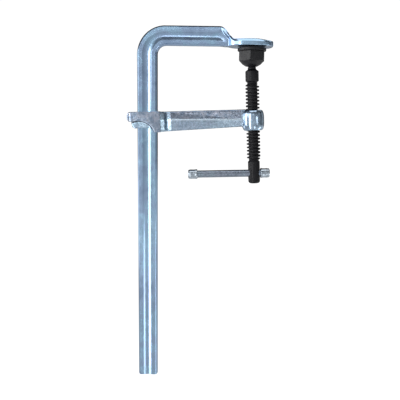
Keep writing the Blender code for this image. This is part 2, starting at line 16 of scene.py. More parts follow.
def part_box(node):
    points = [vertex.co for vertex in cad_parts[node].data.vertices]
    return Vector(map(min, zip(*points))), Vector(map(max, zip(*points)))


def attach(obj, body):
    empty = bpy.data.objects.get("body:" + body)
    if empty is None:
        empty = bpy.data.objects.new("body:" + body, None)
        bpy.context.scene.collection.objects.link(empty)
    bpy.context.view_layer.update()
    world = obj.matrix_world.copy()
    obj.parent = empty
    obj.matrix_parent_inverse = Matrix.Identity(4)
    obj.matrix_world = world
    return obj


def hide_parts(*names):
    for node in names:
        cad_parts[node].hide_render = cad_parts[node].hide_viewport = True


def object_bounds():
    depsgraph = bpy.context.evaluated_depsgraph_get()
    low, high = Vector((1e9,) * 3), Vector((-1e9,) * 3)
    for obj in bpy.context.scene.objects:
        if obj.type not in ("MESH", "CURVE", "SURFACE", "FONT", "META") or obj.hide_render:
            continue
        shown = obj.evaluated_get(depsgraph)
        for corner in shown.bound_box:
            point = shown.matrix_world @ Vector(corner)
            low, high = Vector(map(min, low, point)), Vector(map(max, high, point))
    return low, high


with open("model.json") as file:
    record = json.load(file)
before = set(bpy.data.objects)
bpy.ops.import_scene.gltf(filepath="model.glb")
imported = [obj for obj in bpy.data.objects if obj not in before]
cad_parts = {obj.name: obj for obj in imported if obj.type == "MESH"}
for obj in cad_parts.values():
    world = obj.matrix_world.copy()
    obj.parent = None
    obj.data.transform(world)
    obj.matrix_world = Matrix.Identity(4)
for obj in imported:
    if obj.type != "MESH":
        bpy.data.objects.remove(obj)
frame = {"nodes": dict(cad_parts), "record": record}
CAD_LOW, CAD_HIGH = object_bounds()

MM = 0.001
JOINTS = {joint["name"]: joint for joint in frame["record"]["behaviour"]["joints"]}
BALL = Vector(JOINTS["spindle_turn"]["pos_m"])
SCREW_DOWN = Vector(JOINTS["spindle_turn"]["axis"]).normalized()
SCREW_ACROSS = Vector(JOINTS["bar_slide"]["axis"]).normalized()
RAIL_LOW, RAIL_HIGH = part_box("rail")


def tilted_frame():
    """The matrix of the screw's frame: origin in the ball, Z up the screw, X along the tommy bar."""
    up = -SCREW_DOWN
    depth = up.cross(SCREW_ACROSS).normalized()
    across = depth.cross(up).normalized()
    return Matrix.Translation(BALL) @ Matrix((across, depth, up)).transposed().to_4x4()


TILTED = tilted_frame()
UPRIGHT = Matrix.Translation(BALL)


# ---------------------------------------------------------------- small maths


def mix(first, second, share):
    return first + (second - first) * share


def smoothstep(value, low, high):
    share = min(max((value - low) / (high - low), 0.0), 1.0)
    return share * share * (3.0 - 2.0 * share)


def stations(start, end, steps):
    """Evenly spaced places from just past start up to end."""
    return [mix(start, end, step / steps) for step in range(1, steps + 1)]


def arc(centre, radius, start_degrees, end_degrees, steps):
    """Points of an arc round a centre in a profile's plane."""
    points = []
    for step in range(steps + 1):
        angle = math.radians(mix(start_degrees, end_degrees, step / steps))
        points.append((centre[0] + radius * math.cos(angle), centre[1] + radius * math.sin(angle)))
    return points


# ---------------------------------------------------------------- mesh helpers

ON_AXIS = 1e-7


def linked(name, data):
    """A new object in the scene for a mesh, light or camera."""
    obj = bpy.data.objects.new(name, data)
    bpy.context.scene.collection.objects.link(obj)
    return obj


def new_piece(name, mesh, body, replaced, material):
    """Link a finished mesh as a piece that rides a body and stands for a CAD node."""
    obj = linked(name, mesh)
    mesh.materials.clear()
    mesh.materials.append(material)
    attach(obj, body)
    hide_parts(replaced)


def mesh_from(bm, name, matrix=None):
    """The bmesh as a mesh with its normals outwards, moved by the matrix first."""
    if matrix is not None:
        bm.transform(matrix)
    bmesh.ops.recalc_face_normals(bm, faces=bm.faces)
    mesh = bpy.data.meshes.new(name)
    bm.to_mesh(mesh)
    bm.free()
    return mesh


def add_face(bm, corners):
    """Add a face, less any corner that repeats, unless too few corners are left."""
    corners = list(dict.fromkeys(corners))
    if len(corners) > 2:
        bm.faces.new(corners)


def skin_rings(bm, rows):
    """Join closed rings of vertices in a row, and cap both ends."""
    count = len(rows[0])
    for row, following in zip(rows, rows[1:]):
        for index in range(count):
            other = (index + 1) % count
            bm.faces.new((row[index], row[other], following[other], following[index]))
    bm.faces.new(rows[0])
    bm.faces.new(rows[-1])


def shade(mesh, sharp_degrees=40.0):
    """Smooth shading, with a hard line wherever the faces meet at more than the given angle."""
    mesh.shade_smooth()
    mesh.set_sharp_from_angle(angle=math.radians(sharp_degrees))


def evaluated(obj, name):
    """The object's mesh with its modifiers applied, as a new mesh."""
    bpy.context.view_layer.update()
    depsgraph = bpy.context.evaluated_depsgraph_get()
    mesh = bpy.data.meshes.new_from_object(obj.evaluated_get(depsgraph), depsgraph=depsgraph)
    mesh.name = name
    return mesh


def add_turned(bm, profile, columns, radius_change=None):
    """Add a surface turned round Z from (radius, height) points, and give back its rings.

    Points on the axis close into one vertex. radius_change(angle, radius, height) gives a factor
    on the radius.
    """
    rows = []
    for radius, height in profile:
        if radius < ON_AXIS:
            rows.append([bm.verts.new((0.0, 0.0, height))] * columns)
            continue
        row = []
        for column in range(columns):
            angle = 2 * math.pi * column / columns
            reach = radius * (radius_change(angle, radius, height) if radius_change else 1.0)
            row.append(bm.verts.new((reach * math.cos(angle), reach * math.sin(angle), height)))
        rows.append(row)
    for upper, lower in zip(rows, rows[1:]):
        for column in range(columns):
            other = (column + 1) % columns
            add_face(bm, (upper[column], upper[other], lower[other], lower[column]))
    return rows


def turned_mesh(profile, columns, radius_change=None):
    bm = bmesh.new()
    add_turned(bm, profile, columns, radius_change)
    return bm


def remeshed(name, source, voxel, smoothing):
    """A copy of a CAD node's mesh, remeshed finely and smoothed, so its edges and inner corners round."""
    work = linked(name + "_work", source.data.copy())
    remesh = work.modifiers.new("voxels", "REMESH")
    remesh.mode = "VOXEL"
    remesh.voxel_size = voxel
    soften = work.modifiers.new("soften", "SMOOTH")
    soften.factor = 0.5
    soften.iterations = smoothing
    mesh = evaluated(work, name)
    bpy.data.objects.remove(work, do_unlink=True)
    return mesh


def push_out(mesh, depth, size, seed):
    """Move each point along its normal by a low, even noise: the slight unevenness of a forging."""
    shift = Vector((seed, 2.0 * seed, 3.0 * seed))
    normals = [vertex.normal.copy() for vertex in mesh.vertices]
    for vertex, normal in zip(mesh.vertices, normals):
        vertex.co += normal * (depth * noise.noise(vertex.co / size + shift))


# ---------------------------------------------------------------- finishes

DRAWN_TINTS = ((0.29, 0.40, 0.58), (0.34, 0.46, 0.65), (0.33, 0.50, 0.67), (0.39, 0.55, 0.72))
FORGED_TINTS = ((0.40, 0.54, 0.70), (0.46, 0.58, 0.74), (0.47, 0.64, 0.78), (0.54, 0.70, 0.84))
DULL_TINTS = ((0.21, 0.25, 0.31), (0.27, 0.30, 0.37), (0.27, 0.33, 0.39), (0.32, 0.37, 0.43))
CAP_TINTS = ((0.38, 0.44, 0.50), (0.50, 0.56, 0.62), (0.64, 0.70, 0.75))
# Grey film: the real stain on the arm's cheek, and painted shade on the arm's web.
GREY_FILM_AND_SHADE = ((0.15, 0.19, 0.27), (0.28, 0.31, 0.39), (0.41, 0.41, 0.48))
# Painted shade for the crease between the arm's cheek and the lobe below it.
CREASE_SHADE = (0.05, 0.06, 0.07)
# Painted highlight along the ridge of the arm's web.
RIDGE_HIGHLIGHT = (0.76, 0.88, 0.98)
OXIDE_TINTS = ((0.003, 0.003, 0.005), (0.006, 0.006, 0.008), (0.011, 0.011, 0.014))
OXIDE_WORN = (0.045, 0.043, 0.042)
WIRE_TINTS = ((0.20, 0.20, 0.21), (0.36, 0.35, 0.34))
FLOOR_TINTS = ((0.62, 0.63, 0.64), (0.68, 0.68, 0.68))

# Sockets of a Mix node that mixes colours
MIX_COLOUR_A = 6
MIX_COLOUR_B = 7
MIX_COLOUR_RESULT = 2


class Nodes:
    """A small builder for a material's node tree."""

    def __init__(self, name):
        self.material = bpy.data.materials.new(name)
        self.material.use_nodes = True
        self.tree = self.material.node_tree
        self.shader = self.tree.nodes["Principled BSDF"]
        self.coords = self.add("ShaderNodeTexCoord").outputs["Object"]

    def add(self, kind, **settings):
        node = self.tree.nodes.new(kind)
        for key, value in settings.items():
            setattr(node, key, value)
        return node

    def link(self, output, target):
        self.tree.links.new(output, target)

    def set(self, name, value):
        self.shader.inputs[name].default_value = value

    def stretched(self, source, scale):
        mapping = self.add("ShaderNodeMapping")
        self.link(source, mapping.inputs["Vector"])
        mapping.inputs["Scale"].default_value = scale
        return mapping.outputs["Vector"]

    def noise(self, vector, scale, detail=3.0, roughness=0.55, distortion=0.0):
        node = self.add("ShaderNodeTexNoise")
        self.link(vector, node.inputs["Vector"])
        node.inputs["Scale"].default_value = scale
        node.inputs["Detail"].default_value = detail
        node.inputs["Roughness"].default_value = roughness
        node.inputs["Distortion"].default_value = distortion
        return node.outputs["Fac"]

    def spots(self, vector, scale):
        node = self.add("ShaderNodeTexVoronoi")
        self.link(vector, node.inputs["Vector"])
        node.inputs["Scale"].default_value = scale
        return node.outputs["Distance"]

    def spread(self, source, from_low, from_high, to_low, to_high):
        node = self.add("ShaderNodeMapRange", clamp=True)
        self.link(source, node.inputs["Value"])
        node.inputs["From Min"].default_value = from_low
        node.inputs["From Max"].default_value = from_high
        node.inputs["To Min"].default_value = to_low
        node.inputs["To Max"].default_value = to_high
        return node.outputs["Result"]

    def maths(self, operation, first, second):
        node = self.add("ShaderNodeMath", operation=operation)
        for socket, value in zip(node.inputs, (first, second)):
            if isinstance(value, (int, float)):
                socket.default_value = value
            else:
                self.link(value, socket)
        return node.outputs["Value"]

    def weighted(self, first, first_share, second, second_share):
        """The sum of two sources, each times its share."""
        scaled = self.maths("MULTIPLY", first, first_share)
        return self.maths("ADD", scaled, self.maths("MULTIPLY", second, second_share))

    def ramp(self, source, stops):
        """A colour for each value of the source, from (place, colour) stops."""
        stops = list(stops)
        node = self.add("ShaderNodeValToRGB")
        self.link(source, node.inputs["Fac"])
        elements = node.color_ramp.elements
        while len(elements) < len(stops):
            elements.new(0.5)
        for element, (place, colour) in zip(elements, stops):
            element.position = place
            element.color = (*colour, 1.0)
        return node.outputs["Color"]

    def blend(self, share, first, second):
        """The first colour, with the share of the second over it; the second may be a plain colour."""
        node = self.add("ShaderNodeMix", data_type="RGBA")
        self.link(share, node.inputs["Factor"])
        self.link(first, node.inputs[MIX_COLOUR_A])
        if isinstance(second, tuple):
            node.inputs[MIX_COLOUR_B].default_value = (*second, 1.0)
        else:
            self.link(second, node.inputs[MIX_COLOUR_B])
        return node.outputs[MIX_COLOUR_RESULT]

    def attribute(self, name, output="Fac"):
        return self.add("ShaderNodeAttribute", attribute_name=name).outputs[output]

    def bump(self, height, strength, distance):
        node = self.add("ShaderNodeBump")
        node.inputs["Strength"].default_value = strength
        node.inputs["Distance"].default_value = distance
        self.link(height, node.inputs["Height"])
        return node.outputs["Normal"]

    def into(self, socket, source):
        self.link(source, self.shader.inputs[socket])


def darkened(colour, share):
    return tuple(share * part for part in colour)


def marked_film(nodes, film):
    """The film with the grey stain, the painted shade and the painted ridge highlight that a marked mesh's
    attributes place.
    """
    stain_and_shade = nodes.attribute("stain_and_shade")
    patches = nodes.noise(nodes.coords, 190.0, 4.0, 0.65)
    grey = nodes.ramp(patches, zip((0.38, 0.50, 0.62), GREY_FILM_AND_SHADE))
    # Grey film: a real stain on the cheek, and painted shade on the web, heavier above its ridge.
    film = nodes.blend(nodes.spread(stain_and_shade, 0.0, 1.0, 0.0, 0.75), film, grey)
    # Painted shade in the crease under the cheek, where the mark is 2.
    film = nodes.blend(nodes.spread(stain_and_shade, 1.0, 2.0, 0.0, 0.85), film, CREASE_SHADE)
    # Painted highlight along the web's ridge.
    return nodes.blend(nodes.maths("MULTIPLY", nodes.attribute("painted_ridge_highlight"), 0.6), film, RIDGE_HIGHLIGHT)


def zinc(name, tints, roughness, grain, mottle, drawn=False, marked=False):
    """Blue-passivated zinc on steel: a film that drifts between tints, with cloudy gloss.

    tints run from the darkest colour of the film to the palest. grain is the strength of the fine
    relief, and mottle the darkness of the small patches. A drawn bar has streaks along its vector
    attribute "flow"; anything else has the even grain of a forging. A marked mesh has the attributes
    "stained", up to 1 where the film is grey (a real stain on the cheek, painted shade on the web)
    and 2 where painted shade darkens a crease, "rubbed", 1 where a highlight is painted along a
    ridge, and "turned", 1 where it was machined smooth.
    """
    nodes = Nodes(name)
    nodes.set("Metallic", 1.0)
    cloud = nodes.noise(nodes.coords, 55.0, 4.0, 0.6, 0.8)
    drift = nodes.noise(nodes.coords, 16.0, 2.0, 0.5)
    stops = [(mix(0.36, 0.64, step / (len(tints) - 1)), tint) for step, tint in enumerate(tints)]
    film = nodes.ramp(nodes.weighted(cloud, 0.55, drift, 0.45), stops)
    pebble = nodes.noise(nodes.coords, 420.0, 3.0, 0.65)
    film = nodes.blend(nodes.spread(pebble, 0.40, 0.62, mottle, 0.0), film, darkened(tints[0], 0.55))
    specks = nodes.spread(nodes.spots(nodes.coords, 380.0), 0.02, 0.10, 0.5, 0.0)
    film = nodes.blend(specks, film, darkened(tints[0], 0.4))
    nodes.into("Base Color", marked_film(nodes, film) if marked else film)
    if drawn:
        flow = nodes.attribute("flow", "Vector")
        lines = nodes.noise(nodes.stretched(flow, (9.0, 1400.0, 1.0)), 1.0, 5.0, 0.65)
        wide = nodes.noise(nodes.stretched(flow, (14.0, 330.0, 1.0)), 1.0, 3.0, 0.5)
        relief = nodes.weighted(lines, 0.7, wide, 0.5)
    else:
        fine = nodes.noise(nodes.coords, 900.0, 3.0, 0.6)
        coarse = nodes.noise(nodes.coords, 260.0, 2.0, 0.5)
        relief = nodes.weighted(fine, 0.5, coarse, 0.8)
    if marked:
        relief = nodes.maths("MULTIPLY", relief, nodes.spread(nodes.attribute("turned"), 0.0, 1.0, 1.0, 0.15))
    haze = nodes.spread(cloud, 0.3, 0.7, roughness - 0.05, roughness + 0.07)
    nodes.into("Roughness", nodes.maths("ADD", haze, nodes.spread(relief, 0.3, 0.9, 0.0, 0.08)))
    nodes.into("Normal", nodes.bump(relief, grain, 0.4 * MM))
    return nodes.material


def black_oxide(name, turned, wear, shine):
    """Satin black oxide over machined steel: near-black, with tool lines round it where it was turned.

    wear is how far the steel shows through on the high points, and shine the level of its gloss.
    """
    nodes = Nodes(name)
    nodes.set("Metallic", 0.0)
    nodes.set("Specular IOR Level", shine)
    patch = nodes.noise(nodes.coords, 120.0, 4.0, 0.6, 0.5)
    fine = nodes.noise(nodes.coords, 1500.0, 3.0, 0.6)
    colour = nodes.ramp(patch, zip((0.30, 0.55, 0.75), OXIDE_TINTS))
    raised = nodes.spread(nodes.add("ShaderNodeNewGeometry").outputs["Pointiness"], 0.52, 0.60, 0.0, wear)
    thin = nodes.maths("MULTIPLY", raised, nodes.spread(fine, 0.35, 0.65, 0.2, 1.0))
    nodes.into("Base Color", nodes.blend(thin, colour, OXIDE_WORN))
    if turned:
        lines = nodes.noise(nodes.stretched(nodes.coords, (40.0, 40.0, 2600.0)), 1.0, 3.0, 0.6)
    else:
        lines = nodes.noise(nodes.coords, 500.0, 4.0, 0.6)
    nodes.into("Roughness", nodes.spread(patch, 0.3, 0.7, 0.34, 0.50))
    nodes.into("Normal", nodes.bump(nodes.weighted(lines, 0.6, fine, 0.4), 0.22, 0.3 * MM))
    return nodes.material


def spring_wire():
    """Oiled spring steel."""
    nodes = Nodes("spring_wire")
    nodes.set("Metallic", 1.0)
    patch = nodes.noise(nodes.coords, 300.0, 3.0, 0.6)
    nodes.into("Base Color", nodes.ramp(patch, zip((0.3, 0.7), WIRE_TINTS)))
    nodes.into("Roughness", nodes.spread(patch, 0.3, 0.7, 0.25, 0.42))
    nodes.into("Normal", nodes.bump(nodes.noise(nodes.coords, 2500.0), 0.15, 0.2 * MM))
    return nodes.material


# ---------------------------------------------------------------- rail

RAIL_WIDTH = 24.0 * MM
RAIL_THICKNESS = 12.0 * MM
BAR_HALF = RAIL_THICKNESS / 2
THROAT = 108.4 * MM
RAIL_BOTTOM = RAIL_LOW.z
BEND_INNER_RADIUS = 9.8 * MM
ARM_HEIGHT = 22.6 * MM
GROOVE_DEPTH = 1.0 * MM
GROOVE_HALF_WIDTH = 5.6 * MM
GROOVE_RADIUS = (GROOVE_HALF_WIDTH**2 + GROOVE_DEPTH**2) / (2 * GROOVE_DEPTH)
EDGE_ROUNDING = 2.2 * MM
EDGE_CREASE = math.radians(32.0)
EDGE_CORNER_SHARE = 0.6
JAW_LEFT_X = -28.0 * MM
JAW_RIGHT_X = RAIL_HIGH.x
JAW_HALF_DEPTH = RAIL_HIGH.y
JAW_THICKNESS = 7.3 * MM
JAW_TIP_THICKNESS = 5.4 * MM
JAW_FOOT_ROUNDING = 0.9 * MM
JAW_TOP_ROUNDING = 3.2 * MM
SHOULDER_START_X = -38.5 * MM
SHOULDER_END_X = -20.0 * MM
SHOULDER_BULGE = 4.5 * MM
FOLD_X = -25.0 * MM
FOLD_HEIGHT = 5.4 * MM
FOLD_LEAN = 0.83
FOLD_WIDTH = 3.2 * MM
GROOVE_FADE_X = SHOULDER_START_X - 4.0 * MM
BEND_X = -THROAT + BEND_INNER_RADIUS
BEND_Z = -BEND_INNER_RADIUS
BEND_MIDDLE_RADIUS = BEND_INNER_RADIUS + RAIL_WIDTH / 2
STRAIGHT_LENGTH = BEND_Z - RAIL_BOTTOM
FREE_END_EASING = 0.7 * MM
SIDE_STEPS = 48
LIP_STEPS = 10
END_STEPS = 20
STRAIGHT_STEPS = 60
BEND_STEPS = 40
ARM_STEPS = 16
JAW_STEPS = 64


def edge_point(step, flatness, corner, chamfered):
    """A point of the section's narrow edge: how far out, and how far across from +1 to -1.

    The edge is round at flatness 0 and flat at 1. A flat edge's corners take up the share corner
    of its half width, and run from a quarter round at chamfered 0 to a straight chamfer at 1.
    """
    angle = mix(EDGE_CREASE, math.pi - EDGE_CREASE, step / END_STEPS)
    round_out = (math.sin(angle) - math.sin(EDGE_CREASE)) / (1.0 - math.sin(EDGE_CREASE))
    round_across = math.cos(angle) / math.cos(EDGE_CREASE)
    share = 2.0 * step / END_STEPS
    side = 1.0 if share <= 1.0 else -1.0
    share = min(share, 2.0 - share)
    if share < EDGE_CORNER_SHARE:
        passed = share / EDGE_CORNER_SHARE
        turn = passed * math.pi / 2
        flat_out = mix(math.sin(turn), passed, chamfered)
        flat_across = side * (1.0 - corner * mix(1.0 - math.cos(turn), passed, chamfered))
    else:
        passed = (share - EDGE_CORNER_SHARE) / (1.0 - EDGE_CORNER_SHARE)
        flat_out = 1.0
        flat_across = side * (1.0 - corner) * (1.0 - passed)
    return mix(round_out, flat_out, flatness), mix(round_across, flat_across, flatness)


def hollow(across):
    """Depth of the bar's groove at a distance from its middle: a round hollow with crisp lips."""
    reach = min(abs(across), GROOVE_HALF_WIDTH)
    return math.sqrt(GROOVE_RADIUS**2 - reach**2) - (GROOVE_RADIUS - GROOVE_DEPTH)


def side_places(start, end):
    """Stations across a flat side from start to end, with one exactly on each lip of the groove."""
    lip = max(0.5 - GROOVE_HALF_WIDTH / abs(end - start), 0.1)
    shares = [lip * step / LIP_STEPS for step in range(LIP_STEPS)]
    inner_steps = SIDE_STEPS - 2 * LIP_STEPS
    shares += [mix(lip, 1.0 - lip, step / inner_steps) for step in range(inner_steps)]
    shares += [mix(1.0 - lip, 1.0, step / LIP_STEPS) for step in range(LIP_STEPS)]
    return [mix(start, end, share) for share in shares]


def section(outer, foot_half, web_half, groove, flatness):
    """One ring of the rail, as (in-plane, depth) points from its inner edge at 0 out to outer.

    foot_half is half the depth near the inner edge, and web_half gives it further out. groove is
    the share of the full groove, and flatness turns the bar's round edges into the jaw's.
    """
    rounding = min(EDGE_ROUNDING, 0.45 * outer)
    low = mix(rounding, JAW_FOOT_ROUNDING, flatness)
    top_rounding = mix(rounding, min(JAW_TOP_ROUNDING, 0.4 * outer), flatness)
    high = outer - top_rounding

    def half_depth(place):
        foot_share = 1.0 - smoothstep(place, 0.7 * JAW_THICKNESS, 1.7 * JAW_THICKNESS)
        return mix(web_half(place), foot_half, foot_share) - groove * hollow(place - outer / 2)

    ring = [(place, half_depth(place)) for place in side_places(low, high)]
    for step in range(END_STEPS):
        out, across = edge_point(step, flatness, corner=0.11, chamfered=0.75)
        ring.append((high + top_rounding * out, half_depth(high) * across))
    ring += [(place, -half_depth(place)) for place in side_places(high, low)]
    for step in range(END_STEPS):
        out, across = edge_point(step, flatness, corner=0.05, chamfered=0.0)
        ring.append((low - low * out, -half_depth(low) * across))
    return ring


def bar_section(height):
    return section(height, BAR_HALF, lambda place: BAR_HALF, 1.0, 0.0)


def jaw_half_depth(x):
    """Half the depth of the jaw's oval, which is blunter to the right of its centre than to the left."""
    centre = (JAW_LEFT_X + JAW_RIGHT_X) / 2
    reach = (JAW_RIGHT_X - JAW_LEFT_X) / 2
    share = min(abs(x - centre) / reach, 0.985)
    if x > centre:
        return JAW_HALF_DEPTH * (1.0 - share**3.2) ** (1 / 2.8)
    return max(JAW_HALF_DEPTH * (1.0 - share**2.4) ** (1 / 2.2), BAR_HALF)


def jaw_top(x):
    """How high the metal stands above the jaw's face: the arm's full height, then down to the jaw."""
    shoulder = smoothstep(x, SHOULDER_START_X, SHOULDER_END_X) ** 1.3
    crown = mix(JAW_THICKNESS, JAW_TIP_THICKNESS, smoothstep(x, 0.0, JAW_RIGHT_X))
    return mix(ARM_HEIGHT, crown, shoulder)


def arm_ring(x):
    """The ring across the short leg or the jaw at x."""
    flat = smoothstep(x, SHOULDER_START_X, JAW_LEFT_X)
    foot = mix(BAR_HALF, jaw_half_depth(x), flat)
    bulge = BAR_HALF + SHOULDER_BULGE * smoothstep(x, SHOULDER_START_X, SHOULDER_END_X)
    shoulder = max(jaw_half_depth(x), bulge) if x < SHOULDER_END_X else jaw_half_depth(x)
    groove = 1.0 - smoothstep(x, GROOVE_FADE_X, JAW_LEFT_X)

    def web_half(height):
        past_fold = x - FOLD_X + FOLD_LEAN * (height - FOLD_HEIGHT)
        return mix(BAR_HALF, shoulder, smoothstep(past_fold, -FOLD_WIDTH / 2, FOLD_WIDTH / 2))

    return [(x, depth, height) for height, depth in section(jaw_top(x), foot, web_half, groove, flat)]


def free_end_rings():
    """The rings that ease the edge of the bar's free end."""
    rings = []
    middle = RAIL_WIDTH / 2
    for rise, shrink in ((0.0, 1.0), (0.3, 0.35), (1.0, 0.0)):
        along = FREE_END_EASING * rise
        inset = FREE_END_EASING * shrink
        ring = []
        for across, depth in bar_section(RAIL_WIDTH):
            place = mix(across, middle, inset / middle)
            ring.append((-THROAT - place, depth * (1.0 - inset / BAR_HALF), RAIL_BOTTOM + along))
        rings.append((ring, along))
    return rings


def straight_rings():
    rings = []
    for z in stations(RAIL_BOTTOM + 3.0 * MM, BEND_Z, STRAIGHT_STEPS):
        ring = [(-THROAT - across, depth, z) for across, depth in bar_section(RAIL_WIDTH)]
        rings.append((ring, z - RAIL_BOTTOM))
    return rings


def bend_rings():
    rings = []
    for share in stations(0.0, 1.0, BEND_STEPS):
        turned = share * math.pi / 2
        angle = math.pi - turned
        ring = []
        for across, depth in bar_section(mix(RAIL_WIDTH, ARM_HEIGHT, share)):
            radius = BEND_INNER_RADIUS + across
            ring.append((BEND_X + radius * math.cos(angle), depth, BEND_Z + radius * math.sin(angle)))
        rings.append((ring, STRAIGHT_LENGTH + BEND_MIDDLE_RADIUS * turned))
    return rings


def arm_rings():
    bend_end = STRAIGHT_LENGTH + BEND_MIDDLE_RADIUS * math.pi / 2
    places = stations(BEND_X, GROOVE_FADE_X, ARM_STEPS)
    places += stations(GROOVE_FADE_X, SHOULDER_END_X, JAW_STEPS)
    for share in stations(0.0, 1.0, JAW_STEPS):
        places.append(mix(SHOULDER_END_X, JAW_RIGHT_X, math.sin(share * math.pi / 2)))
    return [(arm_ring(x), bend_end + x - BEND_X) for x in places]


def make_rail():
    """The bar from its free end to the jaw's tip, as rings that each know their distance along it."""
    bm = bmesh.new()
    flow = bm.verts.layers.float_vector.new("flow")
    rows = []
    for ring, along in free_end_rings() + straight_rings() + bend_rings() + arm_rings():
        row = []
        around = 0.0
        for index, point in enumerate(ring):
            vertex = bm.verts.new(point)
            if index:
                around += (Vector(point) - Vector(ring[index - 1])).length
            vertex[flow] = (along, around, 0.0)
            row.append(vertex)
        rows.append(row)
    skin_rings(bm, rows)
    mesh = mesh_from(bm, "rail_bar")
    push_out(mesh, 0.03 * MM, 9 * MM, 3.0)
    shade(mesh, 16.0)
    finish = zinc("zinc_drawn", DRAWN_TINTS, roughness=0.13, grain=0.07, mottle=0.10, drawn=True)
    new_piece("rail_bar", mesh, "rail", "rail", finish)


# ---------------------------------------------------------------- sliding arm

WEB_START_X = -97.0 * MM
WEB_END_X = -14.0 * MM
RIDGE_AT_HEAD = -66.6 * MM
RIDGE_AT_BOSS = -69.2 * MM
# Width of the highlight painted along the web's ridge.
RIDGE_HIGHLIGHT_WIDTH = 1.1 * MM
# How much painted shade darkens the web above and below its ridge.
SHADE_ABOVE_RIDGE = 1.0
SHADE_BELOW_RIDGE = 0.3
CHEEK_END_X = -109.0 * MM
CHEEK_DEPTH = 10.2 * MM
SWEEP_CENTRE = (-134.0 * MM, -85.5 * MM)
SWEEP_RADIUS = 18.5 * MM
# Half width of the painted shade along the crease under the cheek.
CREASE_SHADE_HALF_WIDTH = 0.7 * MM
HEAD_SLOPE_X = -142.0 * MM
HEAD_SLOPE_LENGTH = 5.0 * MM
HEAD_SLOPE = 0.12
BOSS_MIDDLE = -70.8 * MM
BOSS_HALF_HEIGHT = 11.9 * MM
BOSS_END_RADIUS = 9.5 * MM
BOSS_MID_RADIUS = 13.1 * MM
BOSS_TRUING_REACH = 0.9 * MM
WEB_HALF_DEPTH = 7.0 * MM


def trued_boss(place):
    """A point of the boss, in the screw's frame, moved onto the true barrel; None away from it."""
    share = abs(place.z - BOSS_MIDDLE) / BOSS_HALF_HEIGHT
    radius = math.hypot(place.x, place.y)
    in_web = place.x < 0.0 and abs(place.y) < WEB_HALF_DEPTH
    if share > 0.95 or in_web or radius < BOSS_END_RADIUS or place.x < -BOSS_MID_RADIUS:
        return None
    wanted = mix(BOSS_END_RADIUS, BOSS_MID_RADIUS, (1.0 - share**3.2) ** 0.5)
    if abs(wanted - radius) > BOSS_TRUING_REACH:
        return None
    return Vector((place.x * wanted / radius, place.y * wanted / radius, place.z))


def slope_head(mesh, back):
    """Thin the far end of the arm's head a little, as a forging draws off its die."""
    for vertex in mesh.vertices:
        past = HEAD_SLOPE_X - (back @ vertex.co).x
        if past > 0.0:
            vertex.co.y *= 1.0 - HEAD_SLOPE * (past / HEAD_SLOPE_LENGTH) ** 2


def make_sliding_arm():
    mesh = remeshed("sliding_arm_forging", frame["nodes"]["sliding_arm"], 0.36 * MM, 8)
    back = TILTED.inverted()
    slope_head(mesh, back)
    # Attributes for the grey stain and painted shade, the painted ridge highlight, and the turned boss.
    painted_ridge_highlight = mesh.attributes.new("painted_ridge_highlight", "FLOAT", "POINT")
    stain_and_shade = mesh.attributes.new("stain_and_shade", "FLOAT", "POINT")
    turned = mesh.attributes.new("turned", "FLOAT", "POINT")
    for vertex, painted_highlight, stain_and_shade_mark, barrel in zip(mesh.vertices, painted_ridge_highlight.data, stain_and_shade.data, turned.data):
        place = back @ vertex.co
        trued = trued_boss(place)
        if trued:
            vertex.co = TILTED @ trued
            barrel.value = 1.0
        # The cheek's proud faces take a real grey stain, and a thin band along the sweep's arc takes painted
        # shade.
        if place.x < CHEEK_END_X:
            from_centre = math.hypot(place.x - SWEEP_CENTRE[0], place.z - SWEEP_CENTRE[1])
            on_sweep = abs(from_centre - SWEEP_RADIUS) < CREASE_SHADE_HALF_WIDTH
            stain_and_shade_mark.value = 2.0 if on_sweep else float(abs(place.y) > CHEEK_DEPTH)
        # Across the web: a highlight painted along the ridge, and painted shade heavier above the ridge than
        # below it.
        share = (place.x - WEB_START_X) / (WEB_END_X - WEB_START_X)
        if 0.0 < share < 1.0:
            off_ridge = (place.z - mix(RIDGE_AT_HEAD, RIDGE_AT_BOSS, share)) / RIDGE_HIGHLIGHT_WIDTH
            painted_highlight.value = math.exp(-off_ridge * off_ridge)
            stain_and_shade_mark.value = mix(SHADE_BELOW_RIDGE, SHADE_ABOVE_RIDGE, smoothstep(off_ridge, -0.2, 1.2))
    push_out(mesh, 0.03 * MM, 6 * MM, 7.0)
    shade(mesh, 60.0)
    finish = zinc("zinc_forged", FORGED_TINTS, roughness=0.17, grain=0.20, mottle=0.70, marked=True)
    new_piece("sliding_arm_forging", mesh, "sliding_arm", "sliding_arm", finish)


# ---------------------------------------------------------------- spindle

THREAD_RADIUS = 8.0 * MM
THREAD_PITCH = 4.0 * MM
TOOTH_DEPTH = 2.25 * MM
CREST_HALF_WIDTH = 0.73 * MM
FLANK_SPREAD = TOOTH_DEPTH * math.tan(math.radians(15.0))
ROOT_RADIUS = THREAD_RADIUS - TOOTH_DEPTH
BALL_RADIUS = 6.0 * MM
INNER_NECK_RADIUS = 4.0 * MM
NECK_RADIUS = 4.7 * MM
NECK_AT = 11.4 * MM
COLLAR_RADIUS = 7.7 * MM
COLLAR_TOP = 14.5 * MM
COLLAR_BOTTOM = 26.3 * MM
THREAD_TOP = 28.3 * MM
THREAD_BOTTOM = 118.2 * MM
TAIL_RADIUS = 7.0 * MM
TAIL_ROUNDING = 2.8 * MM
SPINDLE_BOTTOM = 145.2 * MM
CROSS_HOLE_AT = 133.2 * MM
SPINDLE_COLUMNS = 64
BAR_RADIUS = 4.3 * MM
PLAY = 0.3 * MM
DRILL_REACH = 12.0 * MM


